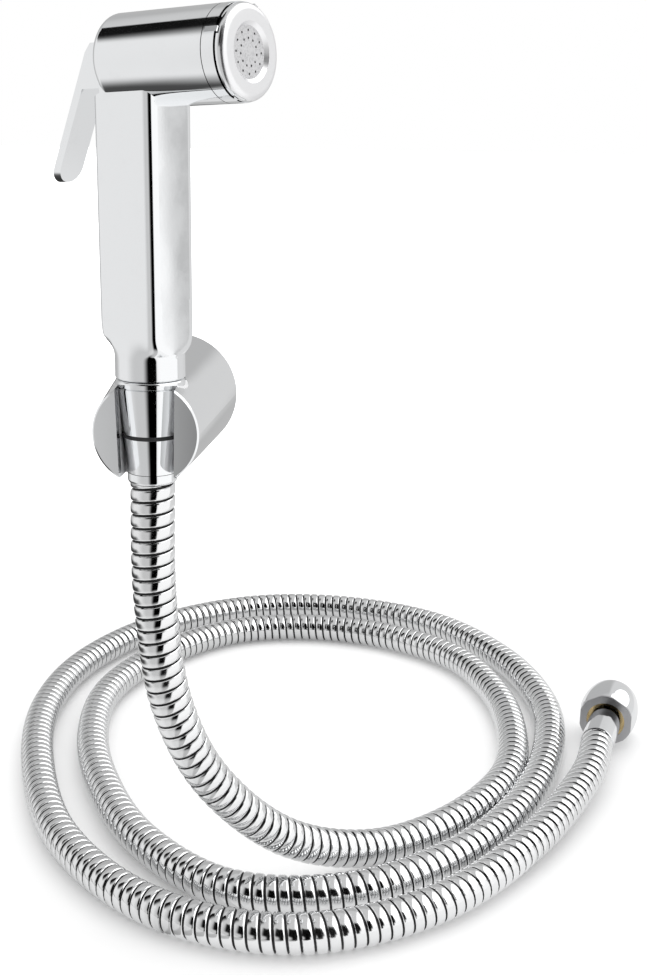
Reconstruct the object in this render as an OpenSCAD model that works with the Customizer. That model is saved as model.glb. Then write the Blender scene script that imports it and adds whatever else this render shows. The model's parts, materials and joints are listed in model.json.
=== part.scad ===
// Handheld bidet shower resting in its wall holder, with a metal hose lying in two loops.
// Millimetres, +Z up. The origin is the middle of the holder's wall face, the holder reaches out along -Y.

/* [Holder] */
// Distance from the wall face to the holder's front face
holder_len = 78.5; // [50:0.5:110]
// Diameter of the holder at its front face
holder_front_d = 37; // [30:0.5:50]
// Diameter of the holder at the wall
holder_rear_d = 47.5; // [34:0.5:60]
// Bevel on the front and rear rims
holder_bevel = 0.6; // [0.2:0.1:2]
// Distance from the holder's front face to the standing axis of the handset
seat_inset = 13.5; // [11:0.5:30]
// Width of the front slot near its top
slot_top_w = 20.6; // [17:0.1:26]
// Width of the front slot near its bottom
slot_low_w = 19.1; // [16.5:0.1:24]
// Height above and below the holder axis where the two slot widths are taken
slot_half_h = 15; // [8:0.5:20]
// Diameter of the relief at the top of the seat
seat_relief_d = 26.4; // [24:0.1:32]
// Level where the relief of the seat starts
seat_relief_z = 15.8; // [10:0.1:19]

/* [Wall plate] */
// Diameter of the plate screwed to the wall
plate_d = 34; // [26:0.5:40]
// Thickness of the plate
plate_t = 3; // [2:0.1:5]
// Diameter of the boss the holder is pushed on
boss_d = 15; // [10:0.5:20]
// How far the boss reaches out from the wall face
boss_len = 15; // [8:0.5:25]
// Depth of the clamp groove round the boss
boss_groove_depth = 0.8; // [0.3:0.1:2]
// Width of the clamp groove
boss_groove_w = 4.6; // [3:0.1:8]
// Spacing of the two screw holes
screw_spacing = 25; // [18:0.5:30]
// Diameter of the screw holes
screw_hole_d = 4.4; // [3:0.1:6]
// Diameter of the countersink of the screw holes
screw_sink_d = 7.6; // [5:0.1:10]
// Depth of the hollow in the rear of the holder
hollow_depth = 6.5; // [4:0.1:12]
// Distance of the set screw from the wall
grub_y = 11; // [7:0.5:20]
// Diameter of the set screw
grub_d = 4; // [3:0.5:6]
// Length of the set screw
grub_len = 12; // [6:0.5:16]
// Width across the flats of the set screw's socket
grub_socket = 2; // [1.3:0.1:3]
// Depth of the socket
grub_socket_depth = 2.5; // [1:0.1:4]

/* [Handset] */
// Turn of the handset in the holder, from straight out towards the right
handset_turn = 58.5; // [-90:0.5:90]
// Height of the head axis above the holder axis
head_z = 123.3; // [90:0.1:160]
// Upward tilt of the head
head_tilt = 2; // [0:0.5:15]
// Diameter of the head
head_d = 30.4; // [24:0.1:40]
// Distance of the head's rear face behind the handle axis
head_rear = 10.5; // [6:0.1:20]
// Rounding of the head's rear rim
head_rear_round = 3.5; // [1:0.1:6]
// Distance of the split line in front of the handle axis
head_split = 35.8; // [25:0.1:50]
// Distance from the handle axis to the rear face of the grip
grip_rear = 14.1; // [9:0.1:18]
// Distance from the handle axis to the front face of the grip
grip_front = 11.9; // [8:0.1:16]
// Width of the grip
grip_w = 22.3; // [18:0.1:32]
// Rounding of the grip's standing edges
grip_round = 3.5; // [1:0.1:6]
// Level below the head axis where the grip's rear strip ends
grip_rear_top = 10.3; // [10:0.1:16]
// Diameter of the round neck
neck_d = 24.6; // [20:0.1:30]
// Level of the neck's lower face
neck_z = 17.6; // [12:0.1:24]
// Height of the round neck
neck_h = 6.9; // [3:0.1:14]
// Radius of both bends of the shoulder between neck and grip
shoulder_r = 6.2; // [3:0.1:8]
// Bevel of the neck's lower rim
neck_bevel = 0.5; // [0.2:0.1:1.5]
// Diameter of the water passage in the grip
passage_d = 9; // [5:0.1:12]
// Distance of the passage in front of the handle axis
passage_x = 2; // [-3:0.1:4]

/* [Nozzle] */
// Width of the fine groove at the split line
split_gap = 0.3; // [0.1:0.05:0.8]
// Distance of the collar's front face from the handle axis
collar_front = 40.8; // [38:0.1:46]
// Diameter of the collar's push-in part
spigot_d = 24; // [18:0.1:26]
// Length of the collar's push-in part
spigot_len = 7.5; // [4:0.1:12]
// Bore of the collar
collar_bore_d = 18; // [12:0.1:20]
// Number of index ribs round the collar
rib_count = 4; // [2:1:8]
// Angle of the first rib above the level plane
rib_angle = 23; // [0:1:60]
// Width of a rib
rib_w = 1.8; // [1:0.1:3]
// Height of a rib above the collar
rib_h = 0.5; // [0.4:0.1:2]
// Where a rib starts, from the handle axis
rib_start = 37.2; // [36.5:0.1:40]
// Where a rib ends, inside the notch of the cap
rib_end = 42; // [41:0.1:43]
// Width of the groove between collar and face cap
cap_gap = 0.6; // [0.3:0.05:1.2]
// Thickness of the face cap
cap_t = 2.8; // [2:0.1:5]
// Diameter of the face cap
cap_d = 29.8; // [24:0.1:38]
// Rounding of the face cap's front rim
cap_round = 2.3; // [0.5:0.1:2.6]
// Diameter of the face cap's threaded hub
hub_d = 22; // [18:0.1:24]
// Length of the hub behind the cap
hub_len = 4.4; // [2:0.1:5]
// Depth of the recess in front of the spray plate
recess_depth = 1.1; // [0.5:0.1:2]
// Diameter of the recess at the cap's front face
recess_front_d = 18.6; // [14:0.1:24]
// Diameter of the recess at the spray plate
recess_plate_d = 16.1; // [12:0.1:20]
// Diameter of the spray plate
plate_spray_d = 19.1; // [16:0.1:22]
// Thickness of the spray plate
plate_spray_t = 0.9; // [0.5:0.1:2]
// Diameter of the spray holes
jet_d = 0.8; // [0.4:0.1:1.5]
// Number of holes in the outer ring
jet_outer_count = 12; // [6:1:24]
// Radius of the outer ring of holes
jet_outer_r = 6.55; // [4:0.05:9]
// Number of holes in the inner ring
jet_inner_count = 11; // [5:1:20]
// Radius of the inner ring of holes
jet_inner_r = 4.2; // [2:0.05:6]
// Thickness of the rubber ring behind the plate
gasket_t = 0.8; // [0.4:0.1:2]
// Inner diameter of the rubber ring and of the retaining ring
gasket_bore_d = 16.4; // [12:0.1:18]
// Length of the retaining ring
retainer_len = 2; // [1:0.1:3]

/* [Valve] */
// Depth of the pocket in the head's rear face
pocket_depth = 5.7; // [4:0.1:8]
// Width of the pocket
pocket_w = 11.4; // [8:0.1:14]
// Level of the pocket's top above the head axis
pocket_top = 7.2; // [5:0.1:9]
// Level of the pocket's bottom below the head axis
pocket_low = 10; // [8:0.1:10.5]
// Level of the valve axis below the head axis
valve_drop = 3.4; // [2:0.1:5]
// Diameter of the valve stem
stem_d = 3; // [2:0.1:5]
// Gap between the lever's pad and the stem at rest
stem_rest_gap = 0.05; // [0.02:0.01:0.3]
// Diameter of the gland
gland_d = 9; // [7:0.1:11]
// Length of the gland
gland_len = 4.8; // [3:0.1:7]
// Section of the stem's rubber ring
stem_ring_t = 1.6; // [1:0.1:2.4]
// Diameter of the rear chamber
inlet_d = 13; // [10:0.1:15]
// Length of the rear chamber
inlet_len = 6.5; // [4:0.1:10]
// Diameter of the seat ring
seat_ring_d = 15; // [11:0.1:16]
// Thickness of the seat ring
seat_ring_t = 2.5; // [1.5:0.1:4]
// Hole in the seat ring
seat_hole_d = 7; // [4:0.1:9]
// Diameter of the spring chamber
chamber_d = 17.2; // [14:0.1:18]
// Length of the spring chamber
chamber_len = 16; // [12:0.1:20]
// Diameter of the valve disc
disc_d = 10.4; // [8:0.1:13]
// Thickness of the valve disc
disc_t = 2.2; // [1:0.1:4]
// Diameter of the collar behind the valve disc
stem_collar_d = 9; // [6:0.1:12]
// Thickness of that collar
stem_collar_t = 1.2; // [0.8:0.1:2]
// Outer diameter of the return spring
spring_d = 7.6; // [5:0.1:10]
// Wire of the return spring
spring_wire_d = 0.9; // [0.5:0.1:1.5]
// Turns of the return spring
spring_turns = 5; // [3:1:10]
// Thickness of the spring plate
spring_plate_t = 2; // [1:0.1:4]
// Number of water holes in the spring plate
spring_plate_holes = 6; // [3:1:8]

/* [Lever] */
// Distance of the lever pin behind the handle axis
pivot_back = 8.2; // [6:0.1:10]
// Level of the lever pin above the head axis
pivot_up = 3.6; // [2:0.1:5]
// Radius of the lever's hub round the pin
lever_hub_r = 2.8; // [2:0.1:3.2]
// Width of the lever
lever_w = 11; // [8:0.1:13.6]
// Level of the lever's tongue end below the head axis
lever_low = 38.9; // [25:0.1:60]
// Slope of the lever's paddle from upright
lever_slope = 25.2; // [10:0.1:40]
// Thickness of the paddle
lever_t = 3; // [2:0.1:5]
// Distance of the lever's outer corner behind the handle axis
lever_corner_back = 21.1; // [18:0.1:26]
// Level of the lever's outer corner above the head axis
lever_corner_up = 3.4; // [1:0.1:5]
// Distance of the lever's top tip behind the handle axis
lever_tip_back = 18.6; // [14:0.1:24]
// Level of the lever's top edge above the head axis
lever_tip_up = 6.2; // [4:0.1:7]
// Level of the lower edge of the lever's block below the head axis
lever_block_low = 8.4; // [6:0.1:9]
// Distance of the block's lower front corner behind the handle axis
lever_block_back = 11.2; // [10.6:0.1:13]
// Distance of the lever's pad in front of the stem, behind the handle axis
lever_pad_back = 8.6; // [7.5:0.1:10]
// Level of the pad's upper end below the head axis
lever_pad_top = 0.6; // [0:0.1:1.5]
// Level of the pad's lower end below the head axis
lever_pad_low = 6.4; // [5:0.1:8]
// Diameter of the lever pin
pin_d = 2.6; // [2:0.1:4]
// Length of the lever pin
pin_len = 21; // [16:0.5:26]

/* [Cone nut] */
// Diameter of the cone under its lip
cone_top_d = 24; // [20:0.1:30]
// Diameter of the cone at its lower end
cone_low_d = 17.4; // [14:0.1:22]
// Level of the cone's lower end
cone_low_z = -16.2; // [-24:0.1:-8]
// Level of the cone's upper end, under the lip
cone_top_z = 14.4; // [8:0.1:16]
// Diameter of the lip
lip_d = 24.3; // [20:0.1:30]
// Rounding of the lip
lip_round = 1.1; // [0.4:0.1:2]
// Level of the lip's upper face
lip_top_z = 17.4; // [15:0.1:17.5]
// Depth of the fine groove under the lip
lip_groove = 0.3; // [0.1:0.05:1]
// Level of the rubber grip ring
grip_ring_z = -2.7; // [-10:0.1:6]
// Section of the grip ring
grip_ring_t = 2; // [1:0.1:3]
// Inner diameter of the nut's thread
nut_thread_d = 21; // [18:0.1:22]
// Level of the shoulder under the thread
nut_shoulder_z = 5.2; // [2:0.1:9]
// Bore of the nut under the shoulder
nut_bore_d = 14.2; // [10:0.1:16]
// Length of the handset's threaded end
stub_len = 8.2; // [5:0.1:10]
// Bore of the handset's threaded end
stub_bore_d = 12; // [8:0.1:14]
// Thickness of the flat washer
washer_t = 2; // [1:0.1:3]
// Outer diameter of the hose tail
tail_d = 11; // [8:0.1:13]
// Bore of the hose tail
tail_bore_d = 8.4; // [5:0.1:10]
// Diameter of the near ferrule
near_ferrule_d = 17.6; // [15:0.1:20]
// Level of the near ferrule's lower face
near_ferrule_z = -20.2; // [-30:0.1:-17]
// Rounding of the near ferrule
near_ferrule_round = 1.4; // [0.4:0.1:2.5]

/* [Hose] */
// Diameter of the hose
hose_d = 16; // [12:0.5:20]
// Height of the holder axis above the surface the hose lies on
table_drop = 205; // [150:1:400]

/* [Far nut] */
// Heading of the far fitting, from +X towards +Y
far_turn = 71.8; // [0:1:180]
// Diameter of the far ferrule
far_ferrule_d = 16.4; // [14:0.1:20]
// Visible length of the far ferrule
far_ferrule_len = 27.5; // [8:0.5:30]
// Diameter of the far nut
far_nut_d = 29.6; // [22:0.1:32]
// Length of the far nut
far_nut_len = 23.5; // [12:0.1:26]
// Hole in the nut round the ferrule
far_nut_hole_d = 19.4; // [16.6:0.1:20.4]
// Width across the six flats at the hose side
far_nut_flats = 26; // [19:0.1:28]
// Length of the flats, up to where they run out in the round body
far_nut_flat_len = 12.5; // [4:0.1:16]
// Radius of the bulge along the nut
far_nut_bulge = 54; // [18:0.5:60]
// Bevel at the mouth of the nut's thread
far_mouth_bevel = 0.5; // [0.2:0.1:1]
// Diameter of the clear groove behind the nut's thread
far_relief_d = 21.8; // [21.2:0.1:23]
// Depth of the nut's shoulder from the hose side
far_nut_shoulder = 7; // [2:0.1:8]
// Play of the far nut along its axis
far_nut_play = 0.3; // [0.1:0.05:1]

/* [Fits] */
// Gap between the cone nut and its seat
seat_gap = 0.06; // [0.02:0.01:0.3]
// Gap of pushed or screwed pieces that stay put
fixed_gap = 0.05; // [0.02:0.01:0.2]
// Gap between the stem and its guides
stem_gap = 0.06; // [0.02:0.01:0.1]
// Gap between the lever pin and the lever's hole
pin_gap = 0.05; // [0.02:0.01:0.1]

/* [Show] */
// Piece to show, or all of them

/* [Hidden] */
$fn = 64;
eps = 0.01;
past = 2;
quarter = 90;
full = 360;
hose_r = hose_d / 2;
hose_sides = 12;
hose_steps = 2;
seat_slope = (cone_top_d - cone_low_d) / 2 / (cone_top_z - cone_low_z);
holder_top = 26;
holder_reach = holder_len - seat_inset;
ferrule_gap = 0.35;
plate_gap = 0.5;
boss_gap = 0.1;
boss_end_gap = 1;
grub_touch = 0.02;
hex_sides = 6;
hex_half = 30;
rib_root = 0.9;
pin_inset = 1;
thread_gap = 0.5;
guide_gap = 0.5;
ring_end_gap = 0.1;
seam_gap = 0.15;
spring_plate_inset = 1;
strip_in = 0.2;
strip_fall = 2;
shoulder_z = neck_z + neck_h;
shoulder_h = sqrt(pow(2 * shoulder_r, 2) - pow(shoulder_r, 2));
bend_turn = 60;
bend_steps = 8;
head_r = head_d / 2;
cap_rear = collar_front + cap_gap;
cap_front = cap_rear + cap_t;
plate_front = cap_front - recess_depth;
plate_rear = plate_front - plate_spray_t;
gasket_rear = plate_rear - gasket_t;
pocket_x = -head_rear + pocket_depth;
inlet_x = pocket_x + gland_len;
seat_x = inlet_x + inlet_len;
disc_x = seat_x + seat_ring_t;
chamber_end = disc_x + chamber_len;
disc_gap = 0.05;
stem_collar_x = disc_x + disc_gap + disc_t;
spring_x = stem_collar_x + stem_collar_t;
spring_plate_x = chamber_end - spring_plate_t - spring_plate_inset;
guide_len = 4;
spring_touch = 0.03;
notch_gap = 0.25;
stub_gap = 0.05;
flange_gap = 0.3;
washer_bore_d = 12;
near_sleeve_gap = 0.2;
sleeve_top = nut_shoulder_z - flange_gap;
bulge_sides = 360;
far_z = -table_drop + far_nut_d / 2;
far_start = [194.8, 85.5, far_z];
far_flange_x = far_ferrule_len + far_nut_shoulder + far_nut_play;
far_flange_t = 2.2;
far_thread_d = 21;
far_washer_t = 2;
far_thread_x = far_flange_x + far_flange_t + far_washer_t + flange_gap;
lever_steep = tan(lever_slope);
lever_end_r = 5.3;
wire_sides = 8;
wire_steps = 12;
lay = -table_drop + hose_r;

// Centre line of the hose: down from the ferrule, then two loops on the surface, then the far ferrule.
route = [[0, -65, near_ferrule_z], [0, -65, -65], [5, -62, -108], [20, -52, -146], [48, -34, -179],
    [84, -12, lay + 2], [120, 17, lay], [147, 60, lay], [155, 108, lay], [151, 158, lay],
    [132, 207, lay], [92, 240, lay], [44, 252, lay], [-4, 241, lay], [-42, 200, lay],
    [-62, 150, lay], [-61, 98, lay], [-46, 45, lay], [-18, -8, lay], [24, -44, lay],
    [75, -43, lay], [120, -12, lay], [152, 34, lay], [171, 88, lay], [176, 146, lay],
    [160, 208, lay], [122, 262, lay], [64, 288, lay], [4, 284, lay], [-50, 247, lay],
    [-83, 190, lay], [-92, 128, lay], [-81, 62, lay], [-53, -8, lay], [-6, -58, lay],
    [52, -74, lay], [108, -51, lay], [152, -3, lay + 1.5], [184.2, 53.2, lay + 4.5], far_start];

function unit(v) = v / norm(v);
function held(i) = max(0, min(len(route) - 1, i));
function spline(i, t) =
    let (a = route[held(i - 1)], b = route[held(i)], c = route[held(i + 1)], d = route[held(i + 2)])
    0.5 * (2 * b + (c - a) * t + (2 * a - 5 * b + 4 * c - d) * t * t + (3 * b - a - 3 * c + d) * t * t * t);
function hose_line() = concat(
    [for (i = [0 : len(route) - 2]) for (k = [0 : hose_steps - 1]) spline(i, k / hose_steps)],
    [route[len(route) - 1]]);
function headings(line, first, last) = [for (i = [0 : len(line) - 1])
    i == 0 ? first : i == len(line) - 1 ? last : unit(line[i + 1] - line[i - 1])];
function sides(dirs, start) = [for (i = 0, s = start; i < len(dirs);
    i = i + 1, s = i < len(dirs) ? unit(s - dirs[i] * (s * dirs[i])) : s) s];
function tube_points(line, dirs, across, r, n) = [for (i = [0 : len(line) - 1]) for (k = [0 : n - 1])
    line[i] + r * (cos(full * k / n) * across[i] + sin(full * k / n) * cross(dirs[i], across[i]))];
function tube_faces(rings, n) = concat(
    [[for (k = [0 : n - 1]) k]],
    [for (i = [0 : rings - 2]) for (k = [0 : n - 1])
        [i * n + k, (i + 1) * n + k, (i + 1) * n + (k + 1) % n, i * n + (k + 1) % n]],
    [[for (k = [0 : n - 1]) (rings - 1) * n + n - 1 - k]]);

module swept(line, first, last, start, r, n) {
    dirs = headings(line, first, last);
    across = sides(dirs, start);
    polyhedron(tube_points(line, dirs, across, r, n), tube_faces(len(line), n), convexity = 10);
}

// A drum lying along +X between two stations
module drum(x0, x1, d) {
    translate([x0, 0, 0])
    rotate([0, quarter, 0])
    cylinder(h = x1 - x0, d = d);
}

// A cone lying along +X between two stations
module taper(x0, x1, d0, d1) {
    translate([x0, 0, 0])
    rotate([0, quarter, 0])
    cylinder(h = x1 - x0, d1 = d0, d2 = d1);
}

module at_handset() {
    translate([0, -holder_reach, 0])
    rotate([0, 0, handset_turn - quarter])
    children();
}

module at_head() {
    at_handset()
    translate([0, 0, head_z])
    rotate([0, -head_tilt, 0])
    children();
}

module at_valve() {
    at_head()
    translate([0, 0, -valve_drop])
    children();
}

module at_far() {
    translate(far_start)
    rotate([0, 0, far_turn])
    children();
}

// The holder
module holder_shell() {
    rear_r = holder_rear_d / 2;
    front_r = holder_front_d / 2;
    slope = (rear_r - front_r) / holder_len;
    rotate([quarter, 0, 0])
    rotate_extrude()
    polygon([[0, 0], [rear_r - holder_bevel, 0], [rear_r - slope * holder_bevel, holder_bevel],
        [front_r + slope * holder_bevel, holder_len - holder_bevel],
        [front_r - holder_bevel, holder_len], [0, holder_len]]);
}

module holder_seat() {
    low_r = cone_low_d / 2 + seat_gap;
    relief_r = low_r + seat_slope * (seat_relief_z - cone_low_z + past);
    translate([0, -holder_reach, 0]) {
        translate([0, 0, cone_low_z - eps])
        cylinder(h = seat_relief_z + past - cone_low_z + eps, r1 = low_r, r2 = relief_r);
        translate([0, 0, seat_relief_z])
        cylinder(h = holder_top, d = seat_relief_d);
        translate([0, 0, -holder_top])
        cylinder(h = holder_top + cone_low_z, d = near_ferrule_d + 2 * ferrule_gap);
    }
}

module holder_slot() {
    slope = (slot_top_w - slot_low_w) / 4 / slot_half_h;
    top_w = slot_top_w / 2 + slope * (holder_top - slot_half_h);
    low_w = slot_low_w / 2 - slope * (holder_top - slot_half_h);
    translate([0, -holder_reach, 0])
    rotate([quarter, 0, 0])
    linear_extrude(height = holder_len)
    polygon([[-low_w, -holder_top], [low_w, -holder_top], [top_w, holder_top], [-top_w, holder_top]]);
}

module holder_body() {
    color("silver")
    difference() {
        holder_shell();
        holder_seat();
        holder_slot();
        rotate([quarter, 0, 0])
        translate([0, 0, -eps])
        cylinder(h = hollow_depth + eps, d = plate_d + 2 * plate_gap);
        rotate([quarter, 0, 0])
        translate([0, 0, -eps])
        cylinder(h = boss_len + boss_end_gap, d = boss_d + 2 * boss_gap);
        translate([0, -grub_y, -holder_top])
        cylinder(h = holder_top, d = grub_d + 2 * fixed_gap);
    }
}

// The plate on the wall with its boss
module wall_plate() {
    color("gainsboro")
    difference() {
        union() {
            rotate([quarter, 0, 0])
            cylinder(h = plate_t, d = plate_d);
            rotate([quarter, 0, 0])
            cylinder(h = boss_len, d = boss_d);
        }
        translate([0, -grub_y + boss_groove_w / 2, 0])
        rotate([quarter, 0, 0])
        difference() {
            cylinder(h = boss_groove_w, d = boss_d + past);
            translate([0, 0, -past])
            cylinder(h = boss_groove_w + 2 * past, d = boss_d - 2 * boss_groove_depth);
        }
        for (side = [-1, 1])
        translate([side * screw_spacing / 2, 0, 0])
        rotate([quarter, 0, 0]) {
            translate([0, 0, -past])
            cylinder(h = plate_t + 2 * past, d = screw_hole_d);
            translate([0, 0, plate_t - (screw_sink_d - screw_hole_d) / 2])
            cylinder(h = (screw_sink_d - screw_hole_d) / 2 + eps, d1 = screw_hole_d, d2 = screw_sink_d);
        }
    }
}

module grub_screw() {
    tip_z = -(boss_d / 2 - boss_groove_depth) - grub_touch;
    color("dimgray")
    difference() {
        translate([0, -grub_y, tip_z - grub_len])
        cylinder(h = grub_len, d = grub_d);
        translate([0, -grub_y, tip_z - grub_len - eps])
        cylinder(h = grub_socket_depth, d = grub_socket / cos(hex_half), $fn = hex_sides);
    }
}

// The handset: head, grip, shoulder and neck in one casting
module shoulder_profile() {
    neck_r = neck_d / 2;
    top_z = shoulder_z + shoulder_h;
    wide_r = neck_r + shoulder_r;
    hollow = [for (k = [0 : bend_steps]) [wide_r, shoulder_z]
        + shoulder_r * [-cos(bend_turn * k / bend_steps), sin(bend_turn * k / bend_steps)]];
    round = [for (k = [1 : bend_steps]) [neck_r, top_z]
        + shoulder_r * [cos(bend_turn * (1 - k / bend_steps)), -sin(bend_turn * (1 - k / bend_steps))]];
    polygon(concat([[0, shoulder_z]], hollow, round, [[wide_r, head_z], [0, head_z]]));
}

module grip_outline() {
    depth = grip_rear + grip_front;
    translate([-grip_rear + grip_round, -grip_w / 2])
    square([depth - 2 * grip_round, grip_w]);
    translate([-grip_rear, -grip_w / 2 + grip_round])
    square([depth, grip_w - 2 * grip_round]);
    for (x = [-grip_rear + grip_round, grip_front - grip_round])
    for (side = [-1, 1])
    translate([x, side * (grip_w / 2 - grip_round)])
    circle(r = grip_round);
}

// Clears the strip behind the head, so that the lever's block can swing
module strip_cut() {
    back = grip_rear + past;
    translate([0, grip_w, head_z])
    rotate([quarter, -head_tilt, 0])
    linear_extrude(height = 2 * grip_w)
    polygon([[-back, head_r], [-back, -grip_rear_top - strip_fall], [-head_rear + strip_in, -grip_rear_top],
        [-head_rear + strip_in, head_r]]);
}

module grip_bar() {
    difference() {
        intersection() {
            linear_extrude(height = head_z - grip_rear_top / 2)
            grip_outline();
            rotate_extrude()
            shoulder_profile();
        }
        strip_cut();
    }
}

module neck() {
    translate([0, 0, neck_z])
    rotate_extrude()
    polygon([[0, 0], [neck_d / 2 - neck_bevel, 0], [neck_d / 2, neck_bevel], [neck_d / 2, neck_h],
        [0, neck_h]]);
}

module head_drum() {
    flat_r = head_r - head_rear_round;
    round_x = -head_rear + head_rear_round;
    rotate([0, quarter, 0])
    rotate_extrude() {
        translate([0, -head_rear])
        square([flat_r, head_split + head_rear]);
        translate([flat_r - eps, round_x])
        square([head_rear_round + eps, head_split - round_x]);
        intersection() {
            translate([flat_r, round_x])
            circle(r = head_rear_round);
            translate([flat_r - eps, -head_rear])
            square([head_rear_round + past, head_rear_round + eps]);
        }
    }
}

module handset_solid() {
    at_handset()
    grip_bar();
    at_handset()
    neck();
    at_head()
    head_drum();
    at_handset()
    translate([0, 0, neck_z - stub_len])
    cylinder(h = stub_len + past, d = nut_thread_d - 2 * stub_gap);
}

module handset_body() {
    color("silver")
    difference() {
        handset_solid();
        at_head()
        translate([-head_rear - past, -pocket_w / 2, -pocket_low])
        cube([pocket_depth + past, pocket_w, pocket_top + pocket_low]);
        at_valve()
        drum(pocket_x - eps, inlet_x + eps, gland_d);
        at_valve()
        drum(inlet_x, seat_x + eps, inlet_d);
        at_valve()
        drum(seat_x, disc_x + eps, seat_ring_d);
        at_valve()
        drum(disc_x, chamber_end + eps, chamber_d);
        at_head()
        drum(chamber_end, head_split + past, spigot_d);
        at_head()
        translate([-pivot_back, -pin_len / 2 + pin_inset, pivot_up])
        rotate([-quarter, 0, 0])
        cylinder(h = head_d, d = pin_d);
        at_handset()
        translate([passage_x, 0, neck_z])
        cylinder(h = head_z - neck_z - valve_drop, d = passage_d);
        at_handset()
        translate([0, 0, neck_z - stub_len - past])
        cylinder(h = stub_len + past + neck_h / 2, d = stub_bore_d);
    }
}

// The nozzle
module nozzle_collar() {
    rear = head_split + split_gap;
    color("silver")
    at_head()
    difference() {
        union() {
            drum(rear, collar_front, head_d);
            drum(rear - spigot_len, rear + eps, spigot_d - 2 * fixed_gap);
            for (k = [0 : rib_count - 1])
            rotate([full * k / rib_count, 0, 0])
            rotate([-rib_angle, 0, 0])
            translate([rib_start, -head_r - rib_h, -rib_w / 2])
            cube([rib_end - rib_start, rib_h + rib_root, rib_w]);
        }
        drum(rear - spigot_len - past, collar_front, collar_bore_d);
        drum(cap_rear - hub_len - flange_gap, collar_front + past, hub_d + 2 * fixed_gap);
    }
}

module face_cap() {
    rim_r = cap_d / 2;
    color("silver")
    at_head()
    difference() {
        union() {
            rotate([0, quarter, 0])
            rotate_extrude() {
                translate([0, cap_rear])
                square([rim_r - cap_round, cap_t]);
                translate([rim_r - cap_round - eps, cap_rear])
                square([cap_round + eps, cap_t - cap_round]);
                intersection() {
                    translate([rim_r - cap_round, cap_front - cap_round])
                    circle(r = cap_round);
                    translate([rim_r - cap_round - eps, cap_front - cap_round - eps])
                    square([cap_round + past, cap_round + past]);
                }
            }
            drum(cap_rear - hub_len, cap_rear + eps, hub_d);
        }
        drum(cap_rear - hub_len - past, plate_front, plate_spray_d + 2 * fixed_gap);
        taper(plate_front - eps, cap_front + eps, recess_plate_d, recess_front_d);
        for (k = [0 : rib_count - 1])
        rotate([full * k / rib_count, 0, 0])
        rotate([-rib_angle, 0, 0])
        translate([cap_rear - past, -head_r - past, -rib_w / 2 - notch_gap])
        cube([rib_end - cap_rear + past + notch_gap, past + rib_root + notch_gap, rib_w + 2 * notch_gap]);
    }
}

module spray_plate() {
    color("lightgray")
    at_head()
    difference() {
        drum(plate_rear, plate_front, plate_spray_d);
        for (k = [0 : jet_outer_count - 1])
        rotate([full * k / jet_outer_count, 0, 0])
        translate([0, 0, jet_outer_r])
        drum(plate_rear - past, plate_front + past, jet_d);
        for (k = [0 : jet_inner_count - 1])
        rotate([full * k / jet_inner_count, 0, 0])
        translate([0, 0, jet_inner_r])
        drum(plate_rear - past, plate_front + past, jet_d);
    }
}

module spray_gasket() {
    color("black")
    at_head()
    difference() {
        drum(gasket_rear, plate_rear, plate_spray_d);
        drum(gasket_rear - past, plate_rear + past, gasket_bore_d);
    }
}

module plate_retainer() {
    color("goldenrod")
    at_head()
    difference() {
        drum(gasket_rear - retainer_len, gasket_rear, plate_spray_d);
        drum(gasket_rear - retainer_len - past, gasket_rear + past, gasket_bore_d);
    }
}

// The valve behind the lever
module valve_gland() {
    color("goldenrod")
    at_valve()
    difference() {
        drum(pocket_x, inlet_x, gland_d - 2 * fixed_gap);
        drum(pocket_x - past, inlet_x + past, stem_d + 2 * stem_gap);
        drum(inlet_x - stem_ring_t - ring_end_gap, inlet_x + past, stem_d + 2 * stem_ring_t + 4 * fixed_gap);
    }
}

module stem_ring() {
    color("black")
    at_valve()
    translate([inlet_x - stem_ring_t / 2 - fixed_gap, 0, 0])
    rotate([0, quarter, 0])
    rotate_extrude()
    translate([stem_d / 2 + stem_ring_t / 2 + fixed_gap, 0])
    circle(d = stem_ring_t);
}

module valve_stem() {
    color("gainsboro")
    at_valve() {
        drum(-lever_pad_back + stem_rest_gap, spring_x + guide_len, stem_d);
        drum(stem_collar_x, spring_x, stem_collar_d);
    }
}

module valve_disc() {
    color("black")
    at_valve()
    difference() {
        drum(disc_x + disc_gap, stem_collar_x, disc_d);
        drum(disc_x - past, stem_collar_x + past, stem_d);
    }
}

module seat_ring() {
    color("goldenrod")
    at_valve()
    difference() {
        drum(seat_x, disc_x, seat_ring_d - 2 * fixed_gap);
        drum(seat_x - past, disc_x + past, seat_hole_d);
    }
}

module valve_spring() {
    coil_r = (spring_d - spring_wire_d) / 2;
    x0 = spring_x + spring_wire_d / 2 + spring_touch;
    x1 = spring_plate_x - spring_wire_d / 2 - spring_touch;
    count = spring_turns * wire_steps;
    line = [for (i = [0 : count])
        [x0 + (x1 - x0) * i / count, coil_r * cos(full * i / wire_steps), coil_r * sin(full * i / wire_steps)]];
    color("gainsboro")
    at_valve()
    swept(line, unit(line[1] - line[0]), unit(line[count] - line[count - 1]), [0, 1, 0],
        spring_wire_d / 2, wire_sides);
}

module spring_plate() {
    hole_r = (spring_d + chamber_d) / 4;
    color("goldenrod")
    at_valve()
    difference() {
        drum(spring_plate_x, spring_plate_x + spring_plate_t, chamber_d - 2 * fixed_gap);
        drum(spring_plate_x - past, chamber_end + past, stem_d + 2 * guide_gap);
        for (k = [0 : spring_plate_holes - 1])
        rotate([full * k / spring_plate_holes, 0, 0])
        translate([0, 0, hole_r])
        drum(spring_plate_x - past, chamber_end + past, stem_d);
    }
}

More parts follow.
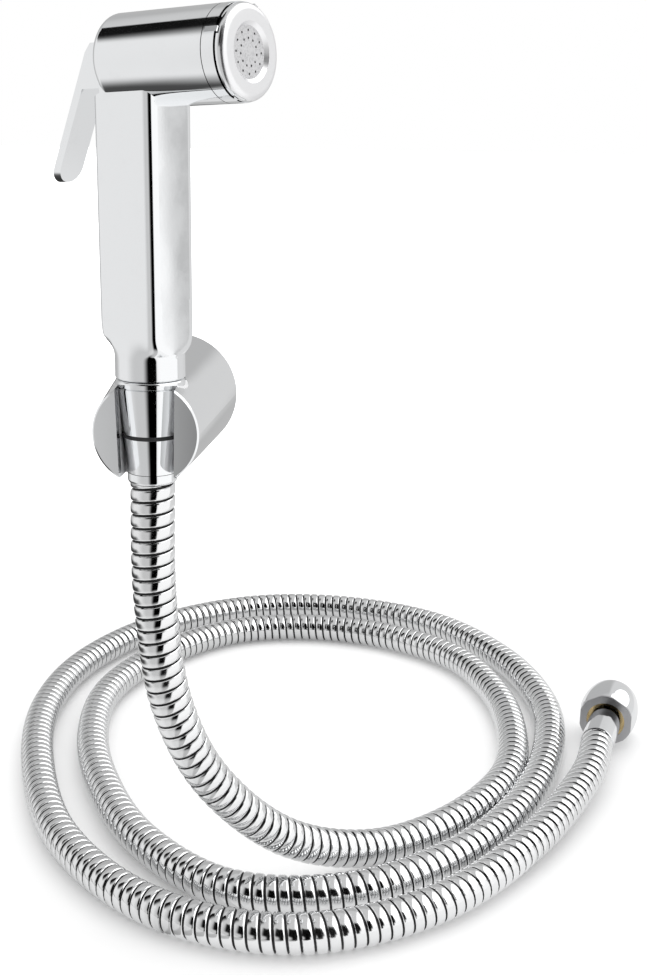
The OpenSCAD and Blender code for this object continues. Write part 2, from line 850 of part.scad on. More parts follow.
// The lever and its pin
module lever_side() {
    low_back = lever_corner_back + (lever_corner_up + lever_low) * lever_steep;
    thick = lever_t / cos(lever_slope);
    block_in = lever_corner_back + (lever_corner_up + lever_block_low) * lever_steep - thick;
    difference() {
        polygon([[-lever_tip_back, lever_tip_up], [-lever_corner_back, lever_corner_up],
            [-low_back, -lever_low], [-low_back + thick, -lever_low], [-block_in, -lever_block_low],
            [-lever_block_back, -lever_block_low], [-lever_pad_back, -lever_pad_low],
            [-lever_pad_back, -lever_pad_top], [-pivot_back, pivot_up - lever_hub_r / 2],
            [-pivot_back, lever_tip_up]]);
        translate([-pivot_back, pivot_up])
        circle(d = pin_d + 2 * pin_gap);
    }
    difference() {
        translate([-pivot_back, pivot_up])
        circle(r = lever_hub_r);
        translate([-pivot_back, pivot_up])
        circle(d = pin_d + 2 * pin_gap);
    }
}

module lever() {
    reach = lever_low * 2;
    color("silver")
    at_head()
    intersection() {
        translate([0, lever_w / 2, 0])
        rotate([quarter, 0, 0])
        linear_extrude(height = lever_w)
        lever_side();
        union() {
            translate([-reach, -lever_w / 2 - past, -lever_low + lever_end_r])
            cube([reach, lever_w + 2 * past, reach]);
            translate([-reach, -lever_w / 2 + lever_end_r, -lever_low - past])
            cube([reach, lever_w - 2 * lever_end_r, lever_end_r + 2 * past]);
            for (side = [-1, 1])
            translate([-reach, side * (lever_w / 2 - lever_end_r), -lever_low + lever_end_r])
            rotate([0, quarter, 0])
            cylinder(h = reach, r = lever_end_r);
        }
    }
}

module lever_pin() {
    color("gainsboro")
    at_head()
    translate([-pivot_back, -pin_len / 2 + pin_inset + eps, pivot_up])
    rotate([-quarter, 0, 0])
    cylinder(h = pin_len, d = pin_d);
}

// The cone nut and what it holds
module cone_nut() {
    lip_r = lip_d / 2;
    top_r = cone_top_d / 2;
    ring_r = cone_low_d / 2 + seat_slope * (grip_ring_z - cone_low_z);
    color("silver")
    at_handset()
    difference() {
        rotate_extrude()
        difference() {
            union() {
                polygon([[0, cone_low_z], [cone_low_d / 2, cone_low_z], [top_r, cone_top_z],
                    [top_r - lip_groove, cone_top_z + lip_groove], [lip_r - lip_groove, cone_top_z + lip_groove],
                    [lip_r, cone_top_z + 2 * lip_groove], [lip_r, lip_top_z - lip_round],
                    [lip_r - lip_round, lip_top_z - lip_round], [lip_r - lip_round, lip_top_z], [0, lip_top_z]]);
                intersection() {
                    translate([lip_r - lip_round, lip_top_z - lip_round])
                    circle(r = lip_round);
                    translate([lip_r - lip_round, lip_top_z - lip_round])
                    square(lip_round + past);
                }
            }
            translate([ring_r - grip_ring_t / 2 + fixed_gap, grip_ring_z])
            circle(d = grip_ring_t + 2 * fixed_gap);
        }
        translate([0, 0, nut_shoulder_z])
        cylinder(h = holder_top, d = nut_thread_d);
        translate([0, 0, cone_low_z - past])
        cylinder(h = nut_shoulder_z - cone_low_z + 2 * past, d = nut_bore_d);
    }
}

module grip_ring() {
    ring_r = cone_low_d / 2 + seat_slope * (grip_ring_z - cone_low_z);
    color("black")
    at_handset()
    translate([0, 0, grip_ring_z])
    rotate_extrude()
    translate([ring_r - grip_ring_t / 2 + fixed_gap, 0])
    circle(d = grip_ring_t);
}

module near_washer() {
    color("black")
    at_handset()
    difference() {
        translate([0, 0, neck_z - stub_len - washer_t])
        cylinder(h = washer_t, d = nut_thread_d - 2 * thread_gap);
        translate([0, 0, neck_z - stub_len - washer_t - past])
        cylinder(h = washer_t + 2 * past, d = washer_bore_d);
    }
}

module near_tail() {
    flange_top = neck_z - stub_len - washer_t;
    color("goldenrod")
    at_handset()
    difference() {
        union() {
            translate([0, 0, nut_shoulder_z])
            cylinder(h = flange_top - nut_shoulder_z, d = nut_thread_d - 2 * thread_gap);
            translate([0, 0, near_ferrule_z])
            cylinder(h = nut_shoulder_z - near_ferrule_z + eps, d = tail_d);
        }
        translate([0, 0, near_ferrule_z - past])
        cylinder(h = flange_top - near_ferrule_z + 2 * past, d = tail_bore_d);
    }
}

module near_ferrule() {
    seam_z = cone_low_z - seam_gap;
    rim_r = near_ferrule_d / 2;
    color("silver")
    at_handset()
    difference() {
        union() {
            rotate_extrude() {
                translate([0, near_ferrule_z])
                square([rim_r - near_ferrule_round, seam_z - near_ferrule_z]);
                translate([0, near_ferrule_z + near_ferrule_round])
                square([rim_r, seam_z - near_ferrule_z - near_ferrule_round]);
                intersection() {
                    translate([rim_r - near_ferrule_round, near_ferrule_z + near_ferrule_round])
                    circle(r = near_ferrule_round);
                    translate([rim_r - near_ferrule_round - eps, near_ferrule_z])
                    square([near_ferrule_round + past, near_ferrule_round + eps]);
                }
            }
            translate([0, 0, seam_z - eps])
            cylinder(h = sleeve_top - seam_z + eps, d = nut_bore_d - 2 * near_sleeve_gap);
        }
        translate([0, 0, near_ferrule_z - past])
        cylinder(h = sleeve_top - near_ferrule_z + 2 * past, d = tail_d + 2 * fixed_gap);
    }
}

// The hose
module hose() {
    line = hose_line();
    color("silver")
    swept(line, [0, 0, -1], [cos(far_turn), sin(far_turn), 0], [1, 0, 0], hose_r, hose_sides);
}

// The far end of the hose
module far_ferrule() {
    color("silver")
    at_far()
    difference() {
        drum(0, far_flange_x, far_ferrule_d);
        drum(-past, far_flange_x + past, tail_d + 2 * fixed_gap);
    }
}

module far_tail() {
    color("goldenrod")
    at_far()
    difference() {
        union() {
            drum(0, far_flange_x + eps, tail_d);
            drum(far_flange_x, far_flange_x + far_flange_t, far_thread_d - 2 * thread_gap);
        }
        drum(-past, far_flange_x + far_flange_t + past, tail_bore_d);
    }
}

module far_washer() {
    x0 = far_flange_x + far_flange_t;
    color("black")
    at_far()
    difference() {
        drum(x0, x0 + far_washer_t, far_thread_d - 2 * thread_gap);
        drum(x0 - past, x0 + far_washer_t + past, washer_bore_d);
    }
}

module far_nut() {
    x0 = far_ferrule_len;
    x1 = x0 + far_nut_len;
    rim_r = far_nut_d / 2;
    middle = x0 + far_nut_len / 2;
    spread = (far_nut_d - far_nut_flats) / far_nut_flat_len;
    color("silver")
    at_far()
    difference() {
        intersection() {
            rotate([0, quarter, 0])
            rotate_extrude()
            intersection() {
                translate([rim_r - far_nut_bulge, middle])
                circle(r = far_nut_bulge, $fn = bulge_sides);
                translate([0, x0])
                square([rim_r + past, far_nut_len]);
            }
            translate([x0 - past, 0, 0])
            rotate([0, quarter, 0])
            cylinder(h = far_nut_len + 2 * past, d1 = (far_nut_flats - past * spread) / cos(hex_half),
                d2 = (far_nut_flats + (far_nut_len + past) * spread) / cos(hex_half), $fn = hex_sides);
        }
        drum(x0 - past, x1, far_nut_hole_d);
        drum(x0 + far_nut_shoulder, far_thread_x, far_relief_d);
        drum(far_thread_x - eps, x1 + past, far_thread_d);
        taper(x1 - far_mouth_bevel, x1 + eps, far_thread_d, far_thread_d + 2 * far_mouth_bevel);
    }
}

holder_body();
wall_plate();
grub_screw();
handset_body();
nozzle_collar();
face_cap();
spray_plate();
spray_gasket();
plate_retainer();
valve_gland();
stem_ring();
valve_stem();
valve_disc();
seat_ring();
valve_spring();
spring_plate();
lever();
lever_pin();
cone_nut();
grip_ring();
near_washer();
near_tail();
near_ferrule();
hose();
far_ferrule();
far_tail();
far_washer();
far_nut();
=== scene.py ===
# %% [markdown]
# # Handheld bidet shower
# A chrome handset rests in a tapered wall holder. Its metal hose hangs down, lies in two loops on a
# pale surface and ends in a domed nut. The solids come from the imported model. This script gives them
# their finish, winds the hose's strip round its centre line and sets up the camera and the light.

import json
import math

import bmesh
import bpy
import numpy as np
from mathutils import Matrix, Vector


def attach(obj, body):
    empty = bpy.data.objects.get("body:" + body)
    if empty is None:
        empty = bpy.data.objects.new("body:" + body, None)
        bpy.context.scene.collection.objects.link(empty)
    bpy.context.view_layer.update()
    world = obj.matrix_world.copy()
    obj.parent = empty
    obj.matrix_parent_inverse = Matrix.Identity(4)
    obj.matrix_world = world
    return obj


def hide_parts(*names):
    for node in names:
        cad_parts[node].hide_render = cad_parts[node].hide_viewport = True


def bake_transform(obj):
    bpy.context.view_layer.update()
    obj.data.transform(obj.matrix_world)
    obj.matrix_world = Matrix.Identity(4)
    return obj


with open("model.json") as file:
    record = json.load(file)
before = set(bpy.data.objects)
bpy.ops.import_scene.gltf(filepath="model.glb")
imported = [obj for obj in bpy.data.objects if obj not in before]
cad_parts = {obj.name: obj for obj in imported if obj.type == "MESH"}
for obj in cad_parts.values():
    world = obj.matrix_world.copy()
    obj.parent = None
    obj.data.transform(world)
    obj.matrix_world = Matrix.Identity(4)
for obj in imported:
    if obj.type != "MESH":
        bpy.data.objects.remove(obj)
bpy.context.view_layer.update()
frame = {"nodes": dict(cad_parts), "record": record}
scene = bpy.context.scene
print("pieces of the packed model:", len(frame["nodes"]))

# %% [markdown]
# ## Camera
# The place, the lens and the small roll were fitted to the outlines in the photograph. The picture is
# 647 by 976 points, and the lens belongs to the long side, which is its height.

# %% Camera
PICTURE_HEIGHT = 976
FOCAL_POINTS = 1298.8
EYE = Vector((0.0756, -0.5126, 0.0986))
HEADING = math.radians(-1.842)
LOOK_DOWN = math.radians(14.99)
ROLL = math.radians(0.82)

camera_data = bpy.data.cameras.new("camera")
camera_data.sensor_width = 36.0
camera_data.lens = FOCAL_POINTS / PICTURE_HEIGHT * camera_data.sensor_width
camera_data.clip_start, camera_data.clip_end = 0.02, 50.0
camera = bpy.data.objects.new("camera", camera_data)
scene.collection.objects.link(camera)
upright = Vector((0, 0, 1))
level_ahead = Vector((math.sin(HEADING), math.cos(HEADING), 0.0))
forward = level_ahead * math.cos(LOOK_DOWN) - upright * math.sin(LOOK_DOWN)
right = level_ahead.cross(upright)
up = right.cross(forward)
right, up = (
    right * math.cos(ROLL) + up * math.sin(ROLL),
    up * math.cos(ROLL) - right * math.sin(ROLL),
)
camera.matrix_world = Matrix.Translation(EYE) @ Matrix((right, up, -forward)).transposed().to_4x4()
scene.camera = camera
print("lens", round(camera_data.lens, 2), "mm, looking along", [round(c, 3) for c in forward])

# %% [markdown]
# ## Measures
# Lengths in metres, the same as in the source of the solids. The grip, the neck, the cone nut and the
# holder's seat share one upright axis. The list is the hose's centre line, from that axis to the far nut.

# %% Measures
AXIS_Y = -0.065
HEAD_TURN, HEAD_TILT, HEAD_LEVEL = math.radians(-31.5), math.radians(2.0), 0.1233
FAR_START, FAR_TURN = Vector((0.1948, 0.0855, -0.1902)), math.radians(71.8)
TABLE = -0.205
LAY = -0.197
ROUTE = [
    (0, AXIS_Y, -0.0202), (0, AXIS_Y, -0.065), (0.005, -0.062, -0.108), (0.02, -0.052, -0.146),
    (0.048, -0.034, -0.179), (0.084, -0.012, LAY + 0.002), (0.12, 0.017, LAY), (0.147, 0.06, LAY),
    (0.155, 0.108, LAY), (0.151, 0.158, LAY), (0.132, 0.207, LAY), (0.092, 0.24, LAY),
    (0.044, 0.252, LAY), (-0.004, 0.241, LAY), (-0.042, 0.2, LAY), (-0.062, 0.15, LAY),
    (-0.061, 0.098, LAY), (-0.046, 0.045, LAY), (-0.018, -0.008, LAY), (0.024, -0.044, LAY),
    (0.075, -0.043, LAY), (0.12, -0.012, LAY), (0.152, 0.034, LAY), (0.171, 0.088, LAY),
    (0.176, 0.146, LAY), (0.16, 0.208, LAY), (0.122, 0.262, LAY), (0.064, 0.288, LAY),
    (0.004, 0.284, LAY), (-0.05, 0.247, LAY), (-0.083, 0.19, LAY), (-0.092, 0.128, LAY),
    (-0.081, 0.062, LAY), (-0.053, -0.008, LAY), (-0.006, -0.058, LAY), (0.052, -0.074, LAY),
    (0.108, -0.051, LAY), (0.152, -0.003, LAY + 0.0015), (0.1842, 0.0532, LAY + 0.0045),
    (0.1948, 0.0855, -0.1902),
]


def spline(points, steps):
    """Points of a smooth line through the given ones, with so many steps between two of them."""
    p = np.array([points[0], *points, points[-1]], float)
    made = []
    for a, b, c, d in zip(p, p[1:], p[2:], p[3:]):
        for t in np.arange(steps) / steps:
            made.append(
                0.5 * (2 * b + (c - a) * t + (2 * a - 5 * b + 4 * c - d) * t**2
                       + (3 * b - a - 3 * c + d) * t**3)
            )
    return np.array([*made, p[-1]])


def even(line, spacing):
    """The same line with points at even distances, and the distance run at each."""
    run = np.concatenate([[0], np.cumsum(np.linalg.norm(np.diff(line, axis=0), axis=1))])
    count = max(2, int(round(run[-1] / spacing)) + 1)
    at = np.linspace(0, run[-1], count)
    return np.stack([np.interp(at, run, line[:, k]) for k in range(3)], 1), at


fine_line, fine_run = even(spline(ROUTE, 40), 0.002)
print("hose length", round(float(fine_run[-1]), 4), "m in", len(fine_line), "points")

# %% [markdown]
# ## The wound strip of the hose
# A shower hose is a bright metal strip wound into a screw line, each turn hooked into the one before it.
# A smooth tube with a painted pattern would lose the notched outline, so the mesh follows the strip: its
# rows run round the hose and climb by one pitch a turn, so every edge of the strip is an edge of the mesh.
# Each pair in the profile is a share of the pitch and the distance from the centre line there. The rows in
# the gap show the black rubber packing between two turns, which also stands as painted shade in the groove.

# %% Strip profile
STRIP_PITCH = 0.00485
AROUND = 24
STRIP = [
    (0.00, 0.00690), (0.08, 0.00690), (0.10, 0.00746), (0.15, 0.00776), (0.26, 0.00795),
    (0.52, 0.00800), (0.78, 0.00795), (0.88, 0.00777), (0.935, 0.00748),
]
# The rows of the gap: rubber packing, also painted shade in the groove.
GAP_ROWS = (8, 0, 1)
LEAST_AREA = 1e-9


def frames(line):
    """Two directions across the line at each of its points, with no twist between them."""
    ahead = np.gradient(line, axis=0)
    ahead /= np.linalg.norm(ahead, axis=1)[:, None]
    across = [np.array([1.0, 0.0, 0.0])]
    for direction in ahead:
        side = across[-1] - direction * float(across[-1] @ direction)
        across.append(side / np.linalg.norm(side))
    across = np.array(across[1:])
    return across, np.cross(ahead, across)


fine_side, fine_up = frames(fine_line)
print("turns of the strip:", round(float(fine_run[-1]) / STRIP_PITCH))

# %% [markdown]
# The rows are laid out in one grid. A row's points share a place on the strip, and the last point of a
# row meets the first point of the row one pitch further on. At both ends the rows are cut off square.

# %% Strip mesh


def strip_points(line, run, side, up):
    """The grid of points of the wound strip, row by row."""
    turns = int(float(run[-1]) / STRIP_PITCH) + 2
    place = np.array([p for p, _ in STRIP])
    radius = np.tile([r for _, r in STRIP], turns)[:, None]
    turn = np.arange(turns * len(STRIP)) // len(STRIP) - 1
    share = np.arange(AROUND)[None, :] / AROUND
    at = (turn + np.tile(place, turns))[:, None] * STRIP_PITCH + STRIP_PITCH * share
    at = np.clip(at, 0.0, float(run[-1]))
    angle = 2 * math.pi * share
    points = np.zeros((*at.shape, 3))
    for k in range(3):
        middle, a, b = (np.interp(at, run, table[:, k]) for table in (line, side, up))
        points[:, :, k] = middle + radius * (np.cos(angle) * a + np.sin(angle) * b)
    return points


def strip_mesh(name, points):
    """The mesh of the strip, with its gap faces in a second material slot."""
    rows = len(points) - len(STRIP) - 1
    index = np.arange(points.shape[0] * AROUND).reshape(-1, AROUND)
    joined = np.concatenate([index[: rows + 1], index[len(STRIP) : len(STRIP) + rows + 1, :1]], axis=1)
    quads = np.stack([joined[:-1, :-1], joined[:-1, 1:], joined[1:, 1:], joined[1:, :-1]], axis=-1)
    in_gap = np.isin(np.arange(rows) % len(STRIP), GAP_ROWS)[:, None].repeat(AROUND, axis=1)
    flat = points.reshape(-1, 3)
    quads, in_gap = quads.reshape(-1, 4), in_gap.reshape(-1)
    corners = flat[quads]
    across, along = corners[:, 2] - corners[:, 0], corners[:, 3] - corners[:, 1]
    wide = np.linalg.norm(np.cross(across, along), axis=1) > LEAST_AREA
    quads, in_gap = quads[wide], in_gap[wide]
    mesh = bpy.data.meshes.new(name)
    mesh.from_pydata(flat.tolist(), [], quads.tolist())
    mesh.polygons.foreach_set("use_smooth", [True] * len(quads))
    mesh.polygons.foreach_set("material_index", in_gap.astype(int).tolist())
    mesh.set_sharp_from_angle(angle=math.radians(28))
    return mesh


hose_mesh = strip_mesh("hose_strip", strip_points(fine_line, fine_run, fine_side, fine_up))
print("hose faces:", len(hose_mesh.polygons))

# %% [markdown]
# The strip stands for the whole hose, whose solid is hidden. It is one cord that leaves the near ferrule,
# and the far ferrule, the tail, the washer and the far nut sit at its end.

# %% Hose
hose_strip = bpy.data.objects.new("hose_strip", hose_mesh)
scene.collection.objects.link(hose_strip)
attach(hose_strip, "base")
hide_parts("hose")
print("hose from", ROUTE[0], "to", ROUTE[-1])

# %% [markdown]
# ## Writing finishes as sums
# A finish is a small sum: a noise times a number, mixed by a mask. One class wraps a socket, so that such
# a sum can be written with plain signs, and every sign adds its Math node.

# %% Signals


class Signal:
    """A socket of a node tree that can be calculated with."""

    def __init__(self, tree, socket):
        self.tree, self.socket = tree, socket

    def _math(self, operation, *inputs):
        node = self.tree.nodes.new("ShaderNodeMath")
        node.operation = operation
        for slot, value in zip(node.inputs, inputs):
            if isinstance(value, Signal):
                self.tree.links.new(value.socket, slot)
            else:
                slot.default_value = float(value)
        return Signal(self.tree, node.outputs[0])

    def __add__(self, other):
        return self._math("ADD", self, other)

    __radd__ = __add__

    def __sub__(self, other):
        return self._math("SUBTRACT", self, other)

    def __rsub__(self, other):
        return self._math("SUBTRACT", other, self)

    def __mul__(self, other):
        return self._math("MULTIPLY", self, other)

    __rmul__ = __mul__

    def __truediv__(self, other):
        return self._math("DIVIDE", self, other)

    def __pow__(self, other):
        return self._math("POWER", self, other)


print("signals ready")

# %% [markdown]
# A second class holds the nodes of one material, or of the world. It adds a node by its type, its settings
# and its inputs. Its other methods write what the finishes use often, such as a soft rise or a noise.

# %% Nodes


class Finish:
    """The nodes of one material or of the world."""

    def __init__(self, owner):
        owner.use_nodes = True
        self.tree = owner.node_tree
        self.tree.nodes.clear()

    def node(self, kind, settings=None, inputs=None, output=0):
        """Adds a node: first its settings, then the values or links of its sockets."""
        node = self.tree.nodes.new("ShaderNode" + kind)
        for name, value in (settings or {}).items():
            setattr(node, name, value)
        for name, value in (inputs or {}).items():
            slot = node.inputs[name]
            if isinstance(value, Signal):
                self.tree.links.new(value.socket, slot)
            elif slot.type == "RGBA":
                slot.default_value = (*value, 1.0)
            else:
                slot.default_value = value
        return Signal(self.tree, node.outputs[output]) if node.outputs else node

    def colour(self, factor, first, second):
        """Goes from the first colour to the second as the factor goes from 0 to 1."""
        return self.node(
            "Mix", {"data_type": "RGBA"}, {0: factor, 6: first, 7: second}, output=2
        )

    def rise(self, value, low, high):
        """0 below low and 1 above high, with a soft rise between them."""
        return self.node(
            "MapRange", {"interpolation_type": "SMOOTHSTEP"},
            {"Value": value, "From Min": low, "From Max": high},
        )

    def place(self, scale=(1.0, 1.0, 1.0)):
        """A point of the surface in metres, with each axis stretched by a scale."""
        where = self.node("TexCoord", output="Object")
        return self.node("Mapping", inputs={"Vector": where, "Scale": scale})

    def noise(self, where, scale, detail=2.0, roughness=0.5):
        return self.node(
            "TexNoise", inputs={"Vector": where, "Scale": scale, "Detail": detail, "Roughness": roughness}
        )

    def bump(self, height, depth):
        return self.node("Bump", inputs={"Height": height, "Distance": depth})

    def axes(self, vector):
        """The three coordinates of a point or a direction."""
        return [self.node("SeparateXYZ", inputs={"Vector": vector}, output=k) for k in range(3)]


print("nodes ready")

# %% [markdown]
# ## Chrome
# The holder, the handset and the nuts are brass castings with a bright chrome plate. Chrome is a metal
# with a faint cool tint. What tells it from a computer's mirror is the hand: the polishing leaves slow
# waves in the surface, and fingers leave soft smudges, which widen the reflections here and there. One
# function makes every metal, and it can leave a place of a piece unpolished.

# %% Chrome


def metal(
    name, colour, low, high, wave, grain, grain_scale=900.0, stretch=(1.0, 1.0, 1.0),
    unpolished=None, raw=None,
):
    """A metal with smudges in its roughness, slow waves and a fine grain in its bump.

    unpolished returns 1 where the plate was left as it came, with raw as its colour and roughness there.
    """
    material = bpy.data.materials.new(name)
    finish = Finish(material)
    where = finish.place()
    smudge = finish.rise(finish.noise(where, 38.0, 4.0, 0.6), 0.42, 0.68)
    fine = finish.noise(finish.place(stretch), grain_scale, 3.0, 0.6)
    slow = finish.noise(where, 26.0, 1.0, 0.4)
    worn = finish.rise(finish.noise(where, 140.0, 5.0, 0.7), 0.5, 0.8)
    dull = tuple(0.93 * c for c in colour)
    relief = finish.bump(slow * wave + fine * grain, 1.0)
    base = finish.colour(worn * 0.35, colour, dull)
    roughness = low + (high - low) * smudge + 0.02 * fine
    if unpolished:
        raw_colour, raw_roughness = raw
        left_raw = unpolished(finish, *finish.axes(where))
        base = finish.colour(left_raw, base, raw_colour)
        roughness = roughness + left_raw * (raw_roughness - roughness)
    shader = finish.node("BsdfPrincipled", inputs={
        "Base Color": base,
        "Metallic": 1.0,
        "Roughness": roughness,
        "Normal": relief,
    })
    finish.node("OutputMaterial", inputs={"Surface": shader})
    return material


PLATED = {"colour": (0.86, 0.87, 0.88), "low": 0.03, "high": 0.075, "wave": 0.00006, "grain": 0.0000008}
chrome = metal("chrome", **PLATED)
strip_metal = metal("hose_metal", (0.84, 0.845, 0.85), 0.07, 0.15, 0.00004, 0.0000025)
print("chrome and hose metal made")

# %% [markdown]
# ## Places that aren't polished
# Three pieces aren't bright all over. The front of the face cap is satin, the polisher's wheel doesn't
# reach into the holder's seat, and the far nut keeps the grey of the lathe on its end. Each place is told
# by the distance from an axis or along one, so its border follows the piece.

# %% Unpolished places
SEAT_R, SEAT_EDGE = 0.0129, 0.0004
NUT_END, NUT_EDGE = 0.0281, 0.0005
PLATE_EDGE = 0.0003


def ahead_of_grip(x, y, z):
    """Distance along the spray head's tilted axis, from the axis of the grip."""
    level = x * math.cos(HEAD_TURN) + (y - AXIS_Y) * math.sin(HEAD_TURN)
    return level * math.cos(HEAD_TILT) + (z - HEAD_LEVEL) * math.sin(HEAD_TILT)


def reach_ahead(name):
    """Where a solid of the spray head begins and ends along the head's axis."""
    stations = [ahead_of_grip(*vertex.co) for vertex in frame["nodes"][name].data.vertices]
    return min(stations), max(stations)


PLATE_FRONT = reach_ahead("spray_plate")[1]


def face_front(finish, x, y, z):
    """1 on the front of the face cap, which is left satin, and 0 on its polished side."""
    return finish.rise(ahead_of_grip(x, y, z), PLATE_FRONT - PLATE_EDGE, PLATE_FRONT)


def in_the_seat(finish, x, y, z):
    """1 on the walls of the holder's seat."""
    distance = (x * x + (y - AXIS_Y) * (y - AXIS_Y)) ** 0.5
    return 1 - finish.rise(distance, SEAT_R, SEAT_R + SEAT_EDGE)


def nut_end(finish, x, y, z):
    """1 on the turned end face of the far nut."""
    along = (x - FAR_START.x) * math.cos(FAR_TURN) + (y - FAR_START.y) * math.sin(FAR_TURN)
    return 1 - finish.rise(along, NUT_END, NUT_END + NUT_EDGE)


satin_cap = metal("chrome_satin_face", **PLATED, unpolished=face_front, raw=((0.90, 0.90, 0.91), 0.30))
holder_chrome = metal("chrome_raw_seat", **PLATED, unpolished=in_the_seat, raw=((0.92, 0.92, 0.93), 0.50))
nut_chrome = metal("chrome_turned_end", **PLATED, unpolished=nut_end, raw=((0.44, 0.44, 0.45), 0.30))
print("spray plate's front", round(PLATE_FRONT, 5), "m ahead of the grip's axis")

# %% [markdown]
# ## The other metals
# The plate on the wall and the lever's pin are brushed steel, so their grain is stretched one way. The
# set screw is blackened. The hose tails and the valve's hidden rings are turned brass.

# %% Other metals
steel = metal("steel", (0.60, 0.60, 0.61), 0.26, 0.38, 0.00002, 0.000004, 700.0, (1.0, 14.0, 14.0))
dark_steel = metal("dark_steel", (0.10, 0.10, 0.105), 0.38, 0.52, 0.00002, 0.000006)
brass = metal("brass", (0.76, 0.58, 0.30), 0.18, 0.30, 0.00002, 0.000004, 800.0, (16.0, 1.0, 1.0))
print("steel, dark steel and brass made")

# %% [markdown]
# ## Rubber and the spray plate
# The grip ring and the washers are matt black rubber with a little dust in the pores. The spray plate is
# a pale grey moulding with a fine speckle of darker grains, and its holes get painted shade just below the
# face.

# %% Rubber and spray plate
HOLE_SHADE_FROM, HOLE_SHADE_TO = 0.0001, 0.0003


def rubber_finish():
    material = bpy.data.materials.new("rubber")
    finish = Finish(material)
    where = finish.place()
    dust = finish.rise(finish.noise(where, 260.0, 4.0, 0.65), 0.5, 0.75)
    pores = finish.noise(where, 2600.0, 2.0)
    shader = finish.node("BsdfPrincipled", inputs={
        "Base Color": finish.colour(dust * 0.4, (0.016, 0.016, 0.017), (0.06, 0.06, 0.06)),
        "Roughness": 0.48 + 0.2 * dust,
        "Normal": finish.bump(pores, 0.00004),
    })
    finish.node("OutputMaterial", inputs={"Surface": shader})
    return material


def spray_finish():
    material = bpy.data.materials.new("spray_face")
    finish = Finish(material)
    where = finish.place()
    grains = finish.rise(finish.noise(where, 1500.0, 2.0, 0.6), 0.5, 0.62)
    cloud = finish.noise(where, 300.0, 2.0)
    # Painted shade: the holes go nearly black from just below the face.
    depth = PLATE_FRONT - ahead_of_grip(*finish.axes(where))
    painted_hole_shade = finish.rise(depth, HOLE_SHADE_FROM, HOLE_SHADE_TO)
    face = finish.colour(grains * 0.4, (0.66, 0.66, 0.67), (0.36, 0.36, 0.37))
    shader = finish.node("BsdfPrincipled", inputs={
        "Base Color": finish.colour(painted_hole_shade, face, (0.02, 0.02, 0.02)),
        "Roughness": 0.42 + 0.2 * cloud,
        "Normal": finish.bump(grains, 0.00003),
    })
    finish.node("OutputMaterial", inputs={"Surface": shader})
    return material


rubber, spray_face = rubber_finish(), spray_finish()
print("rubber and spray plate made")

# %% [markdown]
# ## Dressing the solids
# Each solid of the imported model names its slot in the record, and the slot's finish goes on the solid.
# The three pieces with an unpolished place then get their own chrome.

# %% Dressing the solids
FINISHES = {
    "chrome": chrome, "hose_metal": strip_metal, "steel": steel, "dark_steel": dark_steel,
    "brass": brass, "rubber": rubber, "spray_face": spray_face,
}
slots = {part["node"]: part["material_slot"] for part in frame["record"]["subparts"]}
for name, slot_name in slots.items():
    solid = frame["nodes"][name]
    solid.data.materials.clear()
    solid.data.materials.append(FINISHES[slot_name])
for name, finish in (("face_cap", satin_cap), ("holder_body", holder_chrome), ("far_nut", nut_chrome)):
    frame["nodes"][name].data.materials[0] = finish
hose_mesh.materials.append(strip_metal)
# The gap rows get the black rubber: packing, and painted shade in the groove.
hose_mesh.materials.append(rubber)
print("solids dressed:", len(slots))

# %% [markdown]
# ## Valve spring
# The return spring is squeezed as the lever pushes the stem: the end at the spring plate stays, and the end
# at the valve disc moves with the stem. Its solid is rigid, and an unchanged copy of its mesh stands for it
# here.

# %% Valve spring


def on_head_axis(distance):
    """The point of the spray head's axis at a distance from the axis of the grip."""
    level = distance * math.cos(HEAD_TILT)
    return (
        level * math.cos(HEAD_TURN), level * math.sin(HEAD_TURN) + AXIS_Y,
        HEAD_LEVEL + distance * math.sin(HEAD_TILT),
    )


valve_coil = bpy.data.objects.new("valve_coil", frame["nodes"]["valve_spring"].data.copy())
scene.collection.objects.link(valve_coil)
disc_end, plate_end = reach_ahead("valve_spring")
on_head_axis(plate_end)
on_head_axis(disc_end)
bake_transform(valve_coil)
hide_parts("valve_spring")
print("valve spring from", round(disc_end, 5), "to", round(plate_end, 5), "m ahead")

# %% [markdown]
# ## The handset's lower end
# The grip is a rounded bar, the neck is round, and between them the casting flows without a step: the side
# runs smoothly into the neck, while the front panel keeps its flat and ends in a rounded foot. The packed
# solid turns this shoulder out of two arcs. So the handset is shown by its own solid down to a level on
# the grip, and below it by a skin: rings of points, each given by its distance from the axis. The first
# thing it needs is the grip's section.

# %% Grip section
GRIP_REAR, GRIP_FRONT, GRIP_HALF, GRIP_ROUND = 0.0141, 0.0119, 0.01115, 0.0035


def grip_outline(flat_steps=22, corner_steps=14):
    """Angle and distance from the axis of points round the grip's section."""
    corners = ((GRIP_FRONT, GRIP_HALF, 0), (-GRIP_REAR, GRIP_HALF, 1),
               (-GRIP_REAR, -GRIP_HALF, 2), (GRIP_FRONT, -GRIP_HALF, 3))
    points = []
    for x, y, quarter in corners:
        middle = np.array([x - math.copysign(GRIP_ROUND, x), y - math.copysign(GRIP_ROUND, y)])
        for t in np.linspace(0, math.pi / 2, corner_steps):
            angle = quarter * math.pi / 2 + t
            points.append(middle + GRIP_ROUND * np.array([math.cos(angle), math.sin(angle)]))
    closed = np.array([*points, points[0]])
    filled = []
    for a, b in zip(closed, closed[1:]):
        parts = flat_steps if np.linalg.norm(b - a) > 2 * GRIP_ROUND else 1
        filled.extend(a + (b - a) * k / parts for k in range(parts))
    filled = np.array(filled)
    return np.arctan2(filled[:, 1], filled[:, 0]), np.linalg.norm(filled, axis=1)


print("points round the grip:", len(grip_outline()[0]))

# %% [markdown]
# Round the front the distance follows the panel with its rounded foot, and round the sides it follows the
# S of the casting. Both run into the radius of the neck, the sides over a long way and the panel over a
# short one.

